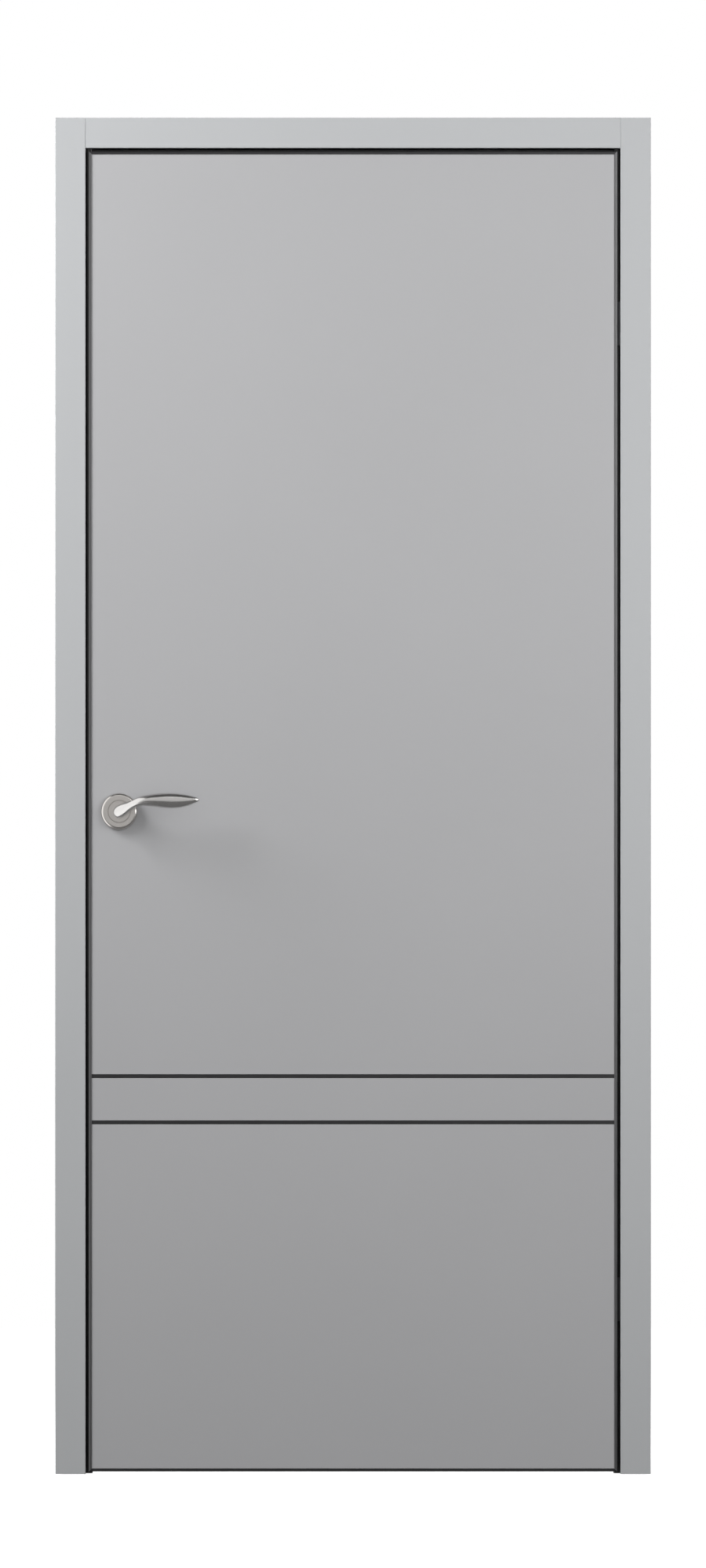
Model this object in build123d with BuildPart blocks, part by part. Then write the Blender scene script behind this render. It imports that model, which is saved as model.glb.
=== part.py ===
from build123d import *
import os
from math import cos, radians, sin

os.makedirs("parts", exist_ok=True)

# Leaf, in millimetres
leaf_width = 800
leaf_height = 2000
leaf_thickness = 44
skin_thickness = 6
skin_edge_radius = 0.3
floor_gap = 4
reveal = 5

# Metal edge of the leaf
edge_lip = 4.5
edge_proud = 1
edge_radius = 1
edge_inner_radius = 0.8
edge_tongue_depth = 10
edge_tongue_thickness = 6
groove_clearance = 0.2
lock_bevel = 1.5

# Strips let into both faces, measured from the bottom of the leaf
lower_strip_height = 529
strip_pitch = 70
strip_width = 6
strip_depth = 3
strip_recess = 0.4
strip_radius = 0.5

# Frame
jamb_thickness = 40
jamb_depth = 90
stop_width = 10
stop_radius = 1.5
seal_thickness = 6
seal_clearance = 0.5
seal_radius = 2.5
seal_hollow_radius = 1.2
seal_hollow_length = 6
architrave_width = 46
architrave_thickness = 8
architrave_radius = 1

# Screws that fix the jambs to the wall
fixing_hole_radius = 3
fixing_sink_radius = 6
fixing_sink_angle = 90
fixing_middle = 1020
fixing_outer_spacing = 1500
fixing_inner_spacing = 500

# Handle and lock
handle_height = 1000
backset = 46
rose_radius = 27.5
rose_thickness = 9
rose_rim_radius = 4
rose_ring_radius = 16.8
rose_ring_width = 0.7
rose_ring_depth = 0.8
neck_radius = 7.4
neck_clearance = 0.4
neck_standoff = 1
lever_length = 121
lever_rise = 16.5
lever_reach = 50
grip_height = 22.2
grip_depth = 12.5
spindle_width = 8
spindle_clearance = 0.1
spindle_engagement = 24
skin_bore_radius = 11
core_bore_radius = 10
case_bore_radius = 8
forend_width = 20
forend_height = 165
forend_thickness = 3
case_depth = 72
case_thickness = 14
case_above_spindle = 30
case_below_spindle = 75
latch_drop = 58
latch_width = 12
latch_height = 22
latch_length = 22
latch_inset = 0.5
latch_clearance = 0.3
strike_width = 24
strike_height = 120
strike_thickness = 2
strike_pocket_depth = 18
strike_pocket_margin = 2

# Concealed hinges: an arc-shaped link that runs in a cup on each side of the gap
hinge_inset = 260
link_inner_radius = 32.5
link_outer_radius = 37
link_half_angle = 63.5
link_height = 66
link_clearance = 0.3
link_end_angle = 1
link_hub_angle = 12
link_arm_height = 20
cup_wall = 1.5
cup_height = 110
flange_height = 150
flange_thickness = 3
flange_corner_radius = 6

# Screw holes of the hinge flanges, the strike plate and the lock's forend
plate_hole_radius = 2.2
plate_sink_radius = 3.9
plate_sink_angle = 90
flange_hole_spacing = 13
plate_hole_margin = 11

# Places that follow from the sizes above
jamb_front = -jamb_depth / 2
jamb_back = jamb_depth / 2
front_face = jamb_front - architrave_thickness
back_face = front_face + leaf_thickness
leaf_middle = (front_face + back_face) / 2
skin_front = front_face + edge_proud
skin_back = back_face - edge_proud
core_front = skin_front + skin_thickness
core_back = skin_back - skin_thickness
seal_front = back_face + seal_clearance
stop_front = seal_front + seal_thickness
hinge_rebate = -jamb_thickness
leaf_hinge_side = hinge_rebate - reveal
leaf_lock_side = leaf_hinge_side - leaf_width
lock_rebate = leaf_lock_side - reveal
lock_wall = lock_rebate - jamb_thickness
hinge_stop_side = hinge_rebate - stop_width
lock_stop_side = lock_rebate + stop_width
leaf_bottom = floor_gap
leaf_top = leaf_bottom + leaf_height
head_rebate = leaf_top + reveal
head_stop_side = head_rebate - stop_width
head_top = head_rebate + jamb_thickness
architrave_top = head_rebate + architrave_width
leaf_centre = (leaf_hinge_side + leaf_lock_side) / 2
leaf_mid_height = (leaf_bottom + leaf_top) / 2
skin_width = leaf_width - 2 * edge_lip
skin_height = leaf_height - 2 * edge_lip
skin_lock_side = leaf_lock_side + edge_lip
skin_hinge_side = leaf_hinge_side - edge_lip
strip_heights = (
    leaf_bottom + lower_strip_height + strip_pitch,
    leaf_bottom + lower_strip_height,
)
spindle_x = leaf_lock_side + backset
spindle_z = leaf_bottom + handle_height
latch_z = spindle_z - latch_drop
axis_x = (hinge_rebate + leaf_hinge_side) / 2
axis_y = front_face - reveal / 2
hinge_heights = (leaf_top - hinge_inset, leaf_bottom + hinge_inset)
link_low_angle = 90 - link_half_angle
cup_front = (
    axis_y + link_inner_radius * sin(radians(link_low_angle)) - link_clearance - cup_wall
)
cup_back = axis_y + link_outer_radius + link_clearance + cup_wall
cup_middle = (cup_front + cup_back) / 2
cup_width = cup_back - cup_front
cup_reach = link_outer_radius * cos(radians(link_low_angle)) + link_clearance + cup_wall
cup_depth = cup_reach - reveal / 2


def block(x0, x1, y0, y1, z0, z1, mode=Mode.ADD):
    """A plain block between two corners, in the current part."""
    with BuildSketch(Plane.XY.offset(z0)) as outline:
        with Locations(((x0 + x1) / 2, (y0 + y1) / 2)):
            Rectangle(abs(x1 - x0), abs(y1 - y0))
    extrude(outline.sketch, amount=z1 - z0, mode=mode)


def fixing_holes(rebate, wall):
    """Countersunk screw holes through a jamb, from its rebate face to the wall."""
    outward = 1 if wall > rebate else -1
    face = Plane(
        origin=(rebate, leaf_middle, fixing_middle),
        x_dir=(0, 1, 0),
        z_dir=(-outward, 0, 0),
    )
    spacings = (fixing_outer_spacing, fixing_inner_spacing)
    places = [(0, side * spacing / 2) for spacing in spacings for side in (-1, 1)]
    with Locations(face):
        with Locations(*places):
            CounterSinkHole(
                fixing_hole_radius,
                fixing_sink_radius,
                depth=jamb_thickness,
                counter_sink_angle=fixing_sink_angle,
            )


def plate_holes(seat, thickness, rows_apart, columns):
    """Two rows of countersunk screw holes through a plate, sunk from its outer face."""
    with Locations(seat):
        with GridLocations(flange_hole_spacing, rows_apart, columns, 2):
            CounterSinkHole(
                plate_hole_radius,
                plate_sink_radius,
                depth=thickness,
                counter_sink_angle=plate_sink_angle,
            )


def hinge_pocket(face, inward, height, clearance, mode):
    """The space of one hinge cup: a face plate with a deeper box behind it."""
    seat = Plane(origin=(face, cup_middle, height), x_dir=(0, 1, 0), z_dir=(inward, 0, 0))
    with BuildSketch(seat) as flange:
        RectangleRounded(
            cup_width + 2 * clearance,
            flange_height + 2 * clearance,
            flange_corner_radius,
        )
    extrude(flange.sketch, amount=flange_thickness, mode=mode)
    with BuildSketch(seat) as box:
        Rectangle(cup_width + 2 * clearance, cup_height + 2 * clearance)
    extrude(box.sketch, amount=cup_depth + clearance, mode=mode)


def link_ring(height, tall, low, high, clearance, mode):
    """A piece of ring about the leaf's swing axis, between two angles."""
    inner = link_inner_radius - clearance
    outer = link_outer_radius + clearance
    middle = (low + high) / 2
    reach = 2 * outer
    with BuildSketch(Plane.XY.offset(height - tall / 2)) as sector:
        with Locations((axis_x, axis_y)):
            Circle(outer)
            Circle(inner, mode=Mode.SUBTRACT)
            Polygon(
                (0, 0),
                (reach * cos(radians(low)), reach * sin(radians(low))),
                (2 * reach * cos(radians(middle)), 2 * reach * sin(radians(middle))),
                (reach * cos(radians(high)), reach * sin(radians(high))),
                align=None,
                mode=Mode.INTERSECT,
            )
    extrude(sector.sketch, amount=tall, mode=mode)


def link_arms(inward):
    """Heights of a link's arms about its middle: two on the frame's side and one on the leaf's."""
    if inward > 0:
        outer = (link_height - link_arm_height) / 2
        return (-outer, outer)
    return (0,)


def link_half(inward, height, clearance, end_angle, mode):
    """Half of a link, or of the space that it runs in: its hub and the arms on one side."""
    reaches = (
        (link_height, (0,), link_hub_angle),
        (link_arm_height, link_arms(inward), link_half_angle),
    )
    for tall, middles, reach in reaches:
        far = 90 - inward * (reach + end_angle)
        for middle in middles:
            link_ring(
                height + middle,
                tall + 2 * clearance,
                min(far, 90),
                max(far, 90),
                clearance,
                mode,
            )


def hinge_link(height):
    """One link, with its arms on both sides of its hub."""
    for inward in (-1, 1):
        link_half(inward, height, 0, 0, Mode.ADD)


def hinge_cup(face, inward, height):
    """One solid hinge cup with the curved slots that its link runs in, and its screw holes."""
    hinge_pocket(face, inward, height, 0, Mode.ADD)
    link_half(inward, height, link_clearance, link_end_angle, Mode.SUBTRACT)
    seat = Plane(origin=(face, cup_middle, height), x_dir=(0, 1, 0), z_dir=(-inward, 0, 0))
    plate_holes(seat, flange_thickness, (cup_height + flange_height) / 2, 2)


def lock_side_bevel():
    """Takes the back of the lock side away, so that it clears the frame as it swings."""
    with BuildSketch(Plane.XY.offset(leaf_bottom)) as wedge:
        Polygon(
            (leaf_lock_side, front_face),
            (leaf_lock_side, back_face),
            (leaf_lock_side + lock_bevel, back_face),
            align=None,
        )
    extrude(wedge.sketch, amount=leaf_height, mode=Mode.SUBTRACT)


def edge_bar(corner_a, corner_b, inner_b, inner_a, tongue_b, tongue_a):
    """A mitred bar with a tongue on its inner side, from its outlines in elevation."""
    with BuildSketch(Plane.XZ.offset(-back_face)) as bar:
        Polygon(corner_a, corner_b, inner_b, inner_a, align=None)
    extrude(bar.sketch, amount=leaf_thickness)
    with BuildSketch(Plane.XZ.offset(-leaf_middle - edge_tongue_thickness / 2)) as tongue:
        Polygon(inner_a, inner_b, tongue_b, tongue_a, align=None)
    extrude(tongue.sketch, amount=edge_tongue_thickness)


def long_edges(solid, axis, across, place):
    """The edges of a bar that run along one axis at a given place across it."""
    chosen = solid.edges().filter_by(axis)
    return chosen.filter_by_position(across, place - 0.01, place + 0.01)


def face_edges(solid, axis, across, place):
    """The first and the last of such edges, where they meet the faces of the leaf."""
    chosen = long_edges(solid, axis, across, place).sort_by(Axis.Y)
    return chosen[:1] + chosen[-1:]


# Frame boards
with BuildPart() as hinge_jamb:
    block(hinge_rebate, 0, jamb_front, jamb_back, 0, head_top)
    for height in hinge_heights:
        hinge_pocket(hinge_rebate, 1, height, groove_clearance, Mode.SUBTRACT)
    fixing_holes(hinge_rebate, 0)
hinge_jamb.part.label = "hinge_jamb"
export_step(hinge_jamb.part, "parts/hinge_jamb.step")

with BuildPart() as lock_jamb:
    block(lock_wall, lock_rebate, jamb_front, jamb_back, 0, head_top)
    strike_seat = Plane(
        origin=(lock_rebate, leaf_middle, latch_z), x_dir=(0, 1, 0), z_dir=(-1, 0, 0)
    )
    with BuildSketch(strike_seat):
        RectangleRounded(
            strike_width + 2 * groove_clearance,
            strike_height + 2 * groove_clearance,
            strike_width / 2,
        )
    extrude(amount=strike_thickness, mode=Mode.SUBTRACT)
    with BuildSketch(strike_seat):
        Rectangle(
            latch_width + 2 * strike_pocket_margin,
            latch_height + 2 * strike_pocket_margin,
        )
    extrude(amount=strike_pocket_depth, mode=Mode.SUBTRACT)
    fixing_holes(lock_rebate, lock_wall)
lock_jamb.part.label = "lock_jamb"
export_step(lock_jamb.part, "parts/lock_jamb.step")

with BuildPart() as head_jamb:
    block(lock_rebate, hinge_rebate, jamb_front, jamb_back, head_rebate, head_top)
head_jamb.part.label = "head_jamb"
export_step(head_jamb.part, "parts/head_jamb.step")

# Stops that the leaf shuts against
with BuildPart() as hinge_stop:
    block(hinge_stop_side, hinge_rebate, stop_front, jamb_back, 0, head_rebate)
    fillet(
        long_edges(hinge_stop, Axis.Z, Axis.X, hinge_stop_side).sort_by(Axis.Y)[-1],
        stop_radius,
    )
hinge_stop.part.label = "hinge_stop"
export_step(hinge_stop.part, "parts/hinge_stop.step")

with BuildPart() as lock_stop:
    block(lock_rebate, lock_stop_side, stop_front, jamb_back, 0, head_rebate)
    fillet(
        long_edges(lock_stop, Axis.Z, Axis.X, lock_stop_side).sort_by(Axis.Y)[-1],
        stop_radius,
    )
lock_stop.part.label = "lock_stop"
export_step(lock_stop.part, "parts/lock_stop.step")

with BuildPart() as head_stop:
    block(
        lock_stop_side, hinge_stop_side, stop_front, jamb_back, head_stop_side, head_rebate
    )
    fillet(
        long_edges(head_stop, Axis.X, Axis.Z, head_stop_side).sort_by(Axis.Y)[-1],
        stop_radius,
    )
head_stop.part.label = "head_stop"
export_step(head_stop.part, "parts/head_stop.step")


def hollow_seal(seat, length):
    """A rubber seal with a rounded front and a hollow, drawn as its section."""
    with BuildSketch(seat) as section:
        Rectangle(stop_width, seal_thickness)
        fillet(section.vertices().group_by(Axis.Y)[-1], seal_radius)
        SlotOverall(seal_hollow_length, 2 * seal_hollow_radius, mode=Mode.SUBTRACT)
    extrude(section.sketch, amount=length)


seal_middle = (seal_front + stop_front) / 2

with BuildPart() as hinge_seal:
    hollow_seal(
        Plane(
            origin=((hinge_stop_side + hinge_rebate) / 2, seal_middle, 0),
            x_dir=(-1, 0, 0),
            z_dir=(0, 0, 1),
        ),
        head_rebate,
    )
hinge_seal.part.label = "hinge_seal"
export_step(hinge_seal.part, "parts/hinge_seal.step")

with BuildPart() as lock_seal:
    hollow_seal(
        Plane(
            origin=((lock_stop_side + lock_rebate) / 2, seal_middle, 0),
            x_dir=(-1, 0, 0),
            z_dir=(0, 0, 1),
        ),
        head_rebate,
    )
lock_seal.part.label = "lock_seal"
export_step(lock_seal.part, "parts/lock_seal.step")

with BuildPart() as head_seal:
    hollow_seal(
        Plane(
            origin=(lock_stop_side, seal_middle, (head_stop_side + head_rebate) / 2),
            x_dir=(0, 0, 1),
            z_dir=(1, 0, 0),
        ),
        hinge_stop_side - lock_stop_side,
    )
head_seal.part.label = "head_seal"
export_step(head_seal.part, "parts/head_seal.step")

# Architraves, on the front and on the back of the frame
with BuildPart() as front_hinge_architrave:
    block(
        hinge_rebate,
        hinge_rebate + architrave_width,
        front_face,
        jamb_front,
        0,
        architrave_top,
    )
    fillet(
        long_edges(front_hinge_architrave, Axis.Z, Axis.Y, front_face), architrave_radius
    )
front_hinge_architrave.part.label = "front_hinge_architrave"
export_step(front_hinge_architrave.part, "parts/front_hinge_architrave.step")

with BuildPart() as front_lock_architrave:
    block(
        lock_rebate - architrave_width,
        lock_rebate,
        front_face,
        jamb_front,
        0,
        architrave_top,
    )
    fillet(
        long_edges(front_lock_architrave, Axis.Z, Axis.Y, front_face), architrave_radius
    )
front_lock_architrave.part.label = "front_lock_architrave"
export_step(front_lock_architrave.part, "parts/front_lock_architrave.step")

with BuildPart() as front_head_architrave:
    block(lock_rebate, hinge_rebate, front_face, jamb_front, head_rebate, architrave_top)
    fillet(
        long_edges(front_head_architrave, Axis.X, Axis.Y, front_face), architrave_radius
    )
front_head_architrave.part.label = "front_head_architrave"
export_step(front_head_architrave.part, "parts/front_head_architrave.step")

frame_back = jamb_back + architrave_thickness

with BuildPart() as back_hinge_architrave:
    block(
        hinge_rebate,
        hinge_rebate + architrave_width,
        jamb_back,
        frame_back,
        0,
        architrave_top,
    )
    fillet(
        long_edges(back_hinge_architrave, Axis.Z, Axis.Y, frame_back), architrave_radius
    )
back_hinge_architrave.part.label = "back_hinge_architrave"
export_step(back_hinge_architrave.part, "parts/back_hinge_architrave.step")

with BuildPart() as back_lock_architrave:
    block(
        lock_rebate - architrave_width,
        lock_rebate,
        jamb_back,
        frame_back,
        0,
        architrave_top,
    )
    fillet(
        long_edges(back_lock_architrave, Axis.Z, Axis.Y, frame_back), architrave_radius
    )
back_lock_architrave.part.label = "back_lock_architrave"
export_step(back_lock_architrave.part, "parts/back_lock_architrave.step")

with BuildPart() as back_head_architrave:
    block(lock_rebate, hinge_rebate, jamb_back, frame_back, head_rebate, architrave_top)
    fillet(
        long_edges(back_head_architrave, Axis.X, Axis.Y, frame_back), architrave_radius
    )
back_head_architrave.part.label = "back_head_architrave"
export_step(back_head_architrave.part, "parts/back_head_architrave.step")

# Plate in the lock jamb that takes the latch
with BuildPart() as strike_plate:
    with BuildSketch(strike_seat):
        RectangleRounded(strike_width, strike_height, strike_width / 2 - groove_clearance)
        Rectangle(
            latch_width + strike_pocket_margin,
            latch_height + strike_pocket_margin,
            mode=Mode.SUBTRACT,
        )
    extrude(amount=strike_thickness)
    plate_holes(
        Plane(origin=strike_seat.origin, x_dir=(0, 1, 0), z_dir=(1, 0, 0)),
        strike_thickness,
        strike_height - 2 * plate_hole_margin,
        1,
    )
strike_plate.part.label = "strike_plate"
export_step(strike_plate.part, "parts/strike_plate.step")

# Leaf: a core between two skins
with BuildPart() as leaf_core:
    block(
        skin_lock_side,
        skin_hinge_side,
        core_front,
        core_back,
        leaf_bottom + edge_lip,
        leaf_top - edge_lip,
    )
    groove_width = edge_tongue_thickness + 2 * groove_clearance
    groove_depth = edge_tongue_depth + groove_clearance
    with BuildSketch(Plane.XZ.offset(-leaf_middle - groove_width / 2)):
        with Locations((leaf_centre, leaf_mid_height)):
            Rectangle(skin_width, skin_height)
            Rectangle(
                skin_width - 2 * groove_depth,
                skin_height - 2 * groove_depth,
                mode=Mode.SUBTRACT,
            )
    extrude(amount=groove_width, mode=Mode.SUBTRACT)
    block(
        skin_lock_side,
        leaf_lock_side + forend_thickness + case_depth + groove_clearance,
        leaf_middle - case_thickness / 2 - groove_clearance,
        leaf_middle + case_thickness / 2 + groove_clearance,
        spindle_z - case_below_spindle - groove_clearance,
        spindle_z + case_above_spindle + groove_clearance,
        Mode.SUBTRACT,
    )
    with BuildSketch(Plane.XZ.offset(-core_back)):
        with Locations((spindle_x, spindle_z)):
            Circle(core_bore_radius)
    extrude(amount=core_back - core_front, mode=Mode.SUBTRACT)
    for height in hinge_heights:
        hinge_pocket(leaf_hinge_side, -1, height, groove_clearance, Mode.SUBTRACT)
leaf_core.part.label = "leaf_core"
export_step(leaf_core.part, "parts/leaf_core.step")


def skin(inside, outside):
    """One face of the leaf, with grooves for the strips and a bore for the handle."""
    with BuildSketch(Plane.XZ.offset(-inside)) as sheet:
        with Locations((leaf_centre, leaf_mid_height)):
            Rectangle(skin_width, skin_height)
    extrude(sheet.sketch, amount=inside - outside)


with BuildPart() as front_skin:
    skin(core_front, skin_front)
    fillet(front_skin.faces().sort_by(Axis.Y)[0].edges(), skin_edge_radius)
    for height in strip_heights:
        block(
            skin_lock_side,
            skin_hinge_side,
            skin_front,
            skin_front + strip_depth,
            height - strip_width / 2,
            height + strip_width / 2,
            Mode.SUBTRACT,
        )
    with BuildSketch(Plane.XZ.offset(-core_front)):
        with Locations((spindle_x, spindle_z)):
            Circle(skin_bore_radius)
    extrude(amount=skin_thickness, mode=Mode.SUBTRACT)
front_skin.part.label = "front_skin"
export_step(front_skin.part, "parts/front_skin.step")

with BuildPart() as back_skin:
    skin(core_back, skin_back)
    fillet(back_skin.faces().sort_by(Axis.Y)[-1].edges(), skin_edge_radius)
    for height in strip_heights:
        block(
            skin_lock_side,
            skin_hinge_side,
            skin_back - strip_depth,
            skin_back,
            height - strip_width / 2,
            height + strip_width / 2,
            Mode.SUBTRACT,
        )
    with BuildSketch(Plane.XZ.offset(-core_back)):
        with Locations((spindle_x, spindle_z)):
            Circle(skin_bore_radius)
    extrude(amount=-skin_thickness, mode=Mode.SUBTRACT)
back_skin.part.label = "back_skin"
export_step(back_skin.part, "parts/back_skin.step")

# Metal edge, mitred at the corners of the leaf
tongue_reach = edge_lip + edge_tongue_depth

with BuildPart() as hinge_edge:
    edge_bar(
        (leaf_hinge_side, leaf_bottom),
        (leaf_hinge_side, leaf_top),
        (skin_hinge_side, leaf_top - edge_lip),
        (skin_hinge_side, leaf_bottom + edge_lip),
        (leaf_hinge_side - tongue_reach, leaf_top - tongue_reach),
        (leaf_hinge_side - tongue_reach, leaf_bottom + tongue_reach),
    )
    fillet(long_edges(hinge_edge, Axis.Z, Axis.X, leaf_hinge_side), edge_radius)
    fillet(face_edges(hinge_edge, Axis.Z, Axis.X, skin_hinge_side), edge_inner_radius)
    for height in hinge_heights:
        hinge_pocket(leaf_hinge_side, -1, height, groove_clearance, Mode.SUBTRACT)
hinge_edge.part.label = "hinge_edge"
export_step(hinge_edge.part, "parts/hinge_edge.step")

with BuildPart() as lock_edge:
    edge_bar(
        (leaf_lock_side, leaf_bottom),
        (leaf_lock_side, leaf_top),
        (skin_lock_side, leaf_top - edge_lip),
        (skin_lock_side, leaf_bottom + edge_lip),
        (leaf_lock_side + tongue_reach, leaf_top - tongue_reach),
        (leaf_lock_side + tongue_reach, leaf_bottom + tongue_reach),
    )
    lock_side_bevel()
    fillet(lock_edge.edges().filter_by(Axis.Z).group_by(Axis.X)[0], edge_radius)
    fillet(face_edges(lock_edge, Axis.Z, Axis.X, skin_lock_side), edge_inner_radius)
    with BuildSketch(
        Plane(
            origin=(leaf_lock_side, leaf_middle, spindle_z - latch_drop / 2),
            x_dir=(0, 1, 0),
            z_dir=(1, 0, 0),
        )
    ):
        RectangleRounded(
            forend_width + 2 * groove_clearance,
            forend_height + 2 * groove_clearance,
            forend_width / 2,
        )
    extrude(amount=tongue_reach, mode=Mode.SUBTRACT)
lock_edge.part.label = "lock_edge"
export_step(lock_edge.part, "parts/lock_edge.step")

with BuildPart() as top_edge:
    edge_bar(
        (leaf_lock_side, leaf_top),
        (leaf_hinge_side, leaf_top),
        (skin_hinge_side, leaf_top - edge_lip),
        (skin_lock_side, leaf_top - edge_lip),
        (leaf_hinge_side - tongue_reach, leaf_top - tongue_reach),
        (leaf_lock_side + tongue_reach, leaf_top - tongue_reach),
    )
    fillet(long_edges(top_edge, Axis.X, Axis.Z, leaf_top), edge_radius)
    fillet(face_edges(top_edge, Axis.X, Axis.Z, leaf_top - edge_lip), edge_inner_radius)
    lock_side_bevel()
top_edge.part.label = "top_edge"
export_step(top_edge.part, "parts/top_edge.step")

with BuildPart() as bottom_edge:
    edge_bar(
        (leaf_lock_side, leaf_bottom),
        (leaf_hinge_side, leaf_bottom),
        (skin_hinge_side, leaf_bottom + edge_lip),
        (skin_lock_side, leaf_bottom + edge_lip),
        (leaf_hinge_side - tongue_reach, leaf_bottom + tongue_reach),
        (leaf_lock_side + tongue_reach, leaf_bottom + tongue_reach),
    )
    fillet(long_edges(bottom_edge, Axis.X, Axis.Z, leaf_bottom), edge_radius)
    fillet(face_edges(bottom_edge, Axis.X, Axis.Z, leaf_bottom + edge_lip), edge_inner_radius)
    lock_side_bevel()
bottom_edge.part.label = "bottom_edge"
export_step(bottom_edge.part, "parts/bottom_edge.step")

# Strips, flush-set in the grooves of the skins
strip_thickness = strip_depth - strip_recess


def strip(floor, outward, height):
    """A strip on the floor of its groove, rounded along its two outer edges."""
    top = floor + outward * strip_thickness
    block(
        skin_lock_side,
        skin_hinge_side,
        min(floor, top),
        max(floor, top),
        height - strip_width / 2,
        height + strip_width / 2,
    )
    return top


with BuildPart() as front_upper_strip:
    strip_face = strip(skin_front + strip_depth, -1, strip_heights[0])
    fillet(long_edges(front_upper_strip, Axis.X, Axis.Y, strip_face), strip_radius)
front_upper_strip.part.label = "front_upper_strip"
export_step(front_upper_strip.part, "parts/front_upper_strip.step")

with BuildPart() as front_lower_strip:
    strip_face = strip(skin_front + strip_depth, -1, strip_heights[1])
    fillet(long_edges(front_lower_strip, Axis.X, Axis.Y, strip_face), strip_radius)
front_lower_strip.part.label = "front_lower_strip"
export_step(front_lower_strip.part, "parts/front_lower_strip.step")

with BuildPart() as back_upper_strip:
    strip_face = strip(skin_back - strip_depth, 1, strip_heights[0])
    fillet(long_edges(back_upper_strip, Axis.X, Axis.Y, strip_face), strip_radius)
back_upper_strip.part.label = "back_upper_strip"
export_step(back_upper_strip.part, "parts/back_upper_strip.step")

with BuildPart() as back_lower_strip:
    strip_face = strip(skin_back - strip_depth, 1, strip_heights[1])
    fillet(long_edges(back_lower_strip, Axis.X, Axis.Y, strip_face), strip_radius)
back_lower_strip.part.label = "back_lower_strip"
export_step(back_lower_strip.part, "parts/back_lower_strip.step")

# Lock in the edge of the leaf, with its latch drawn in
with BuildPart() as mortise_lock:
    with BuildSketch(
        Plane(
            origin=(leaf_lock_side, leaf_middle, spindle_z - latch_drop / 2),
            x_dir=(0, 1, 0),
            z_dir=(1, 0, 0),
        )
    ):
        RectangleRounded(forend_width, forend_height, forend_width / 2 - groove_clearance)
    extrude(amount=forend_thickness)
    lock_side_bevel()
    plate_holes(
        Plane(
            origin=(leaf_lock_side + lock_bevel / 2, leaf_middle, spindle_z - latch_drop / 2),
            x_dir=(lock_bevel, leaf_thickness, 0),
            z_dir=(-leaf_thickness, lock_bevel, 0),
        ),
        forend_thickness,
        forend_height - 2 * plate_hole_margin,
        1,
    )
    block(
        leaf_lock_side + forend_thickness,
        leaf_lock_side + forend_thickness + case_depth,
        leaf_middle - case_thickness / 2,
        leaf_middle + case_thickness / 2,
        spindle_z - case_below_spindle,
        spindle_z + case_above_spindle,
    )
    with BuildSketch(Plane.XZ.offset(-leaf_middle - case_thickness / 2)):
        with Locations((spindle_x, spindle_z)):
            Circle(case_bore_radius)
    extrude(amount=case_thickness, mode=Mode.SUBTRACT)
    block(
        leaf_lock_side,
        leaf_lock_side + lock_bevel + latch_inset + latch_length + latch_clearance,
        leaf_middle - latch_width / 2 - latch_clearance,
        leaf_middle + latch_width / 2 + latch_clearance,
        latch_z - latch_height / 2 - latch_clearance,
        latch_z + latch_height / 2 + latch_clearance,
        Mode.SUBTRACT,
    )
mortise_lock.part.label = "mortise_lock"
export_step(mortise_lock.part, "parts/mortise_lock.step")

with BuildPart() as latch_bolt:
    block(
        leaf_lock_side + lock_bevel + latch_inset,
        leaf_lock_side + lock_bevel + latch_inset + latch_length,
        leaf_middle - latch_width / 2,
        leaf_middle + latch_width / 2,
        latch_z - latch_height / 2,
        latch_z + latch_height / 2,
    )
    fillet(
        long_edges(
            latch_bolt, Axis.Z, Axis.X, leaf_lock_side + lock_bevel + latch_inset
        ),
        latch_width / 6,
    )
latch_bolt.part.label = "latch_bolt"
export_step(latch_bolt.part, "parts/latch_bolt.step")


def rose(face, outward):
    """A round rose with a rounded rim, a fine engraved ring and a bore for the neck."""
    seat = Plane(
        origin=(spindle_x, face, spindle_z), x_dir=(1, 0, 0), z_dir=(0, outward, 0)
    )
    with BuildSketch(seat) as disc:
        Circle(rose_radius)
        Circle(neck_radius + neck_clearance, mode=Mode.SUBTRACT)
    extrude(disc.sketch, amount=rose_thickness)
    half_section = Plane(origin=seat.origin, x_dir=(1, 0, 0), z_dir=(0, 0, outward))
    with BuildSketch(half_section) as ring:
        Polygon(
            (rose_ring_radius - rose_ring_width / 2, rose_thickness),
            (rose_ring_radius, rose_thickness - rose_ring_depth),
            (rose_ring_radius + rose_ring_width / 2, rose_thickness),
            align=None,
        )
    revolve(ring.sketch, axis=Axis(seat.origin, seat.z_dir), mode=Mode.SUBTRACT)


with BuildPart() as front_rose:
    rose(skin_front, -1)
    rim = front_rose.edges().filter_by(GeomType.CIRCLE).group_by(Axis.Y)[0]
    fillet(rim.sort_by(SortBy.RADIUS)[-1], rose_rim_radius)
front_rose.part.label = "front_rose"
export_step(front_rose.part, "parts/front_rose.step")

with BuildPart() as back_rose:
    rose(skin_back, 1)
    rim = back_rose.edges().filter_by(GeomType.CIRCLE).group_by(Axis.Y)[-1]
    fillet(rim.sort_by(SortBy.RADIUS)[-1], rose_rim_radius)
back_rose.part.label = "back_rose"
export_step(back_rose.part, "parts/back_rose.step")

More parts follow.
